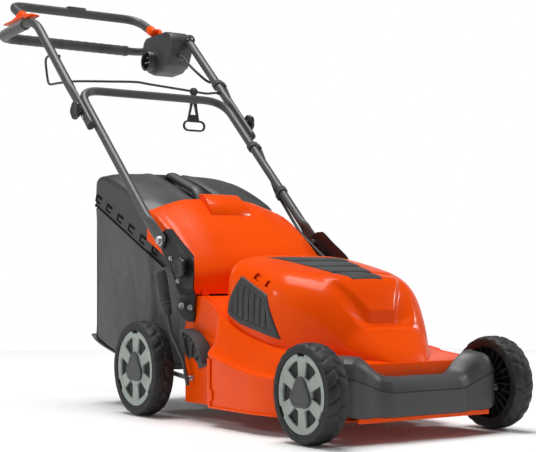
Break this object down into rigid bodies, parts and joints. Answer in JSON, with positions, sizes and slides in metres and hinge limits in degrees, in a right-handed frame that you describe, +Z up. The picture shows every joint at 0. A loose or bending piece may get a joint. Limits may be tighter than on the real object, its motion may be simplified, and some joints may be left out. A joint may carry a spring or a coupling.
{
  "type": "lawn mower",
  "caption": "Walk-behind electric lawn mower with rear grass collector, folding handle, start bail and one-lever cutting height.",
  "frame": {"origin": "centre of the mower's box, on the ground", "axes": "+Y from the front wheels back to the handle, +X from the height lever's side to the switch box's side, +Z up"},
  "size_m": [0.5018, 1.5368, 1.0405],
  "materials": {
    "orange_plastic": "glossy, lightly orange-peeled",
    "dark_plastic": "fine matte grain",
    "grey_plastic": "fine matte grain",
    "bag_fabric": "woven, matte",
    "tube_paint": "satin powder coat",
    "bracket_paint": "satin powder coat",
    "zinc_steel": "zinc plated",
    "blade_steel": "ground edges",
    "motor_metal": "die cast",
    "tyre_black": "matte, moulded tread",
    "cover_pale": "satin",
    "grip_rubber": "soft matte",
    "cable_black": "satin jacket",
    "wire_black": "black coat",
    "inlet_plastic": "smooth"
  },
  "bodies": {
    "chassis": {"deck": "orange_plastic", "hood": "orange_plastic", "hood_grille": "dark_plastic", "side_vent_right": "dark_plastic", "side_vent_left": "dark_plastic", "front_bumper": "dark_plastic", "handle_bracket_right": "bracket_paint", "handle_bracket_left": "bracket_paint", "motor": "motor_metal", "flap_hinge_rod": "zinc_steel", "lever_guard": "dark_plastic", "handle_bolt_right": "zinc_steel", "handle_bolt_left": "zinc_steel", "cable_hood": "cable_black"},
    "rotor": {"motor_shaft": "zinc_steel", "blade_adapter": "dark_plastic", "blade": "blade_steel", "blade_bolt": "zinc_steel"},
    "rear_carrier": {"rear_axle": "zinc_steel", "height_lever": "tube_paint", "lever_grip": "grip_rubber"},
    "front_carrier": {"front_axle": "zinc_steel"},
    "link": {"link_rod": "zinc_steel"},
    "flap": {"rear_flap": "orange_plastic"},
    "collector": {"collector_lid": "grey_plastic", "collector_bag": "bag_fabric", "collector_bottom": "dark_plastic", "collector_handle": "dark_plastic"},
    "lower_frame": {"lower_handle": "tube_paint", "cable_middle": "cable_black", "cable_clip_middle": "dark_plastic", "cable_clip_lower": "dark_plastic"},
    "upper_frame": {"upper_handle": "tube_paint", "handle_grip": "grip_rubber", "switch_box": "dark_plastic", "power_inlet": "inlet_plastic", "bail_bracket_right": "orange_plastic", "bail_bracket_left": "orange_plastic", "cord_guide": "wire_black", "cable_upper": "cable_black", "cable_clip_upper": "dark_plastic"},
    "bail": {"opc_bail": "dark_plastic"},
    "button": {"lock_button": "orange_plastic"},
    "retainer": {"cord_retainer": "dark_plastic"},
    "front_wheel_right": {"front_wheel_right": "tyre_black", "front_wheel_right_cover": "cover_pale", "front_wheel_right_cap": "dark_plastic"},
    "front_wheel_left": {"front_wheel_left": "tyre_black", "front_wheel_left_cover": "cover_pale", "front_wheel_left_cap": "dark_plastic"},
    "rear_wheel_right": {"rear_wheel_right": "tyre_black", "rear_wheel_right_cover": "cover_pale", "rear_wheel_right_cap": "dark_plastic"},
    "rear_wheel_left": {"rear_wheel_left": "tyre_black", "rear_wheel_left_cover": "cover_pale", "rear_wheel_left_cap": "dark_plastic"},
    "bracket_knob_right_body": {"bracket_knob_right": "dark_plastic"},
    "bracket_knob_left_body": {"bracket_knob_left": "dark_plastic"},
    "mid_knob_right_body": {"mid_knob_right": "dark_plastic"},
    "mid_knob_left_body": {"mid_knob_left": "dark_plastic"}
  },
  "joints": [
    {"name": "height_adjust", "type": "hinge", "parent": "chassis", "child": "rear_carrier", "pos_m": [0, -0.21044, 0.08496], "axis": [1, 0, 0], "range_deg": [-10.8, 6.6]},
    {"name": "front_height", "type": "hinge", "parent": "chassis", "child": "front_carrier", "pos_m": [0, -0.72189, 0.0815], "axis": [1, 0, 0], "range_deg": [-40.4, 24.8]},
    {"name": "link_swing", "type": "hinge", "parent": "rear_carrier", "child": "link", "pos_m": [-0.1, -0.21044, 0.12596], "axis": [1, 0, 0], "range_deg": [-7, 11.2]},
    {"name": "blade_spin", "type": "hinge", "parent": "chassis", "child": "rotor", "pos_m": [0, -0.4954, 0.048], "axis": [0, 0, 1], "continuous": true},
    {"name": "front_wheel_right_spin", "type": "hinge", "parent": "front_carrier", "child": "front_wheel_right", "pos_m": [-0.21175, -0.6804, 0.088], "axis": [1, 0, 0], "continuous": true},
    {"name": "front_wheel_left_spin", "type": "hinge", "parent": "front_carrier", "child": "front_wheel_left", "pos_m": [0.21175, -0.6804, 0.088], "axis": [1, 0, 0], "continuous": true},
    {"name": "rear_wheel_right_spin", "type": "hinge", "parent": "rear_carrier", "child": "rear_wheel_right", "pos_m": [-0.21175, -0.0624, 0.1], "axis": [1, 0, 0], "continuous": true},
    {"name": "rear_wheel_left_spin", "type": "hinge", "parent": "rear_carrier", "child": "rear_wheel_left", "pos_m": [0.21175, -0.0624, 0.1], "axis": [1, 0, 0], "continuous": true},
    {"name": "flap_hinge", "type": "hinge", "parent": "chassis", "child": "flap", "pos_m": [0, -0.1944, 0.2645], "axis": [1, 0, 0], "range_deg": [0, 60]},
    {"name": "collector_lift_off", "type": "slide", "parent": "chassis", "child": "collector", "axis": [0, 1, 0], "range_m": [0, 0.3]},
    {"name": "lower_handle_fold", "type": "hinge", "parent": "chassis", "child": "lower_frame", "pos_m": [0, -0.1198, 0.3684], "axis": [1, 0, 0], "range_deg": [0, 120]},
    {"name": "upper_handle_fold", "type": "hinge", "parent": "lower_frame", "child": "upper_frame", "pos_m": [0, 0.2256, 0.68], "axis": [1, 0, 0], "range_deg": [-100, 0]},
    {"name": "bail_squeeze", "type": "hinge", "parent": "upper_frame", "child": "bail", "pos_m": [0, 0.6496, 0.977], "axis": [-1, 0, 0], "range_deg": [0, 33], "stiffness_Nm_per_rad": 1.5, "springref_deg": -28.65},
    {"name": "lock_button_press", "type": "slide", "parent": "upper_frame", "child": "button", "axis": [0, -1, 0], "range_m": [0, 0.006], "stiffness_N_per_m": 400, "springref_m": -0.004},
    {"name": "retainer_slide", "type": "slide", "parent": "upper_frame", "child": "retainer", "axis": [0.9979, 0, -0.0649], "range_m": [-0.12, 0.015]},
    {"name": "bracket_knob_right_turn", "type": "hinge", "parent": "chassis", "child": "bracket_knob_right_body", "pos_m": [-0.196, -0.2104, 0.3095], "axis": [1, 0, 0], "continuous": true},
    {"name": "mid_knob_right_turn", "type": "hinge", "parent": "upper_frame", "child": "mid_knob_right_body", "pos_m": [-0.228, 0.2256, 0.68], "axis": [1, 0, 0], "continuous": true},
    {"name": "bracket_knob_left_turn", "type": "hinge", "parent": "chassis", "child": "bracket_knob_left_body", "pos_m": [0.196, -0.2104, 0.3095], "axis": [1, 0, 0], "continuous": true},
    {"name": "mid_knob_left_turn", "type": "hinge", "parent": "upper_frame", "child": "mid_knob_left_body", "pos_m": [0.228, 0.2256, 0.68], "axis": [1, 0, 0], "continuous": true}
  ],
  "couplings": [
    {"joint": "front_height", "follows": "height_adjust", "ratio": 3.7273},
    {"joint": "link_swing", "follows": "height_adjust", "ratio": -1}
  ]
}
